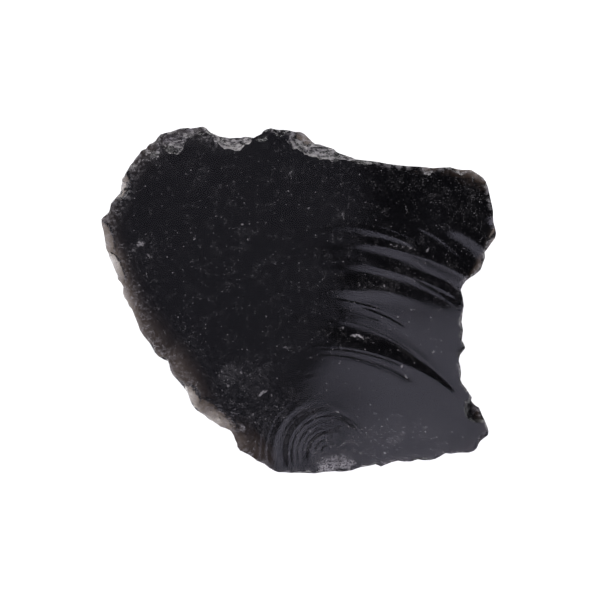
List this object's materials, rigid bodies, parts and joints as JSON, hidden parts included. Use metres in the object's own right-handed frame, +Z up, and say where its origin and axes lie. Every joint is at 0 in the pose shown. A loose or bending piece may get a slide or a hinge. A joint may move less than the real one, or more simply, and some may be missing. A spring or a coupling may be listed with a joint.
{
  "type": "obsidian chunk",
  "caption": "Lump of black volcanic glass with a broad rippled fracture face, thin chipped edges and a flat underside to lie on.",
  "frame": {"origin": "middle of the outline, on the surface the chunk lies on", "axes": "+X along the longest side, +Z up out of the main fracture face"},
  "size_m": [0.0904, 0.0792, 0.0225],
  "materials": {
    "obsidian": "glossy fracture, smoky at thin edges, dusty"
  },
  "bodies": {
    "root": {"obsidian_chunk": "obsidian"}
  },
  "joints": []
}
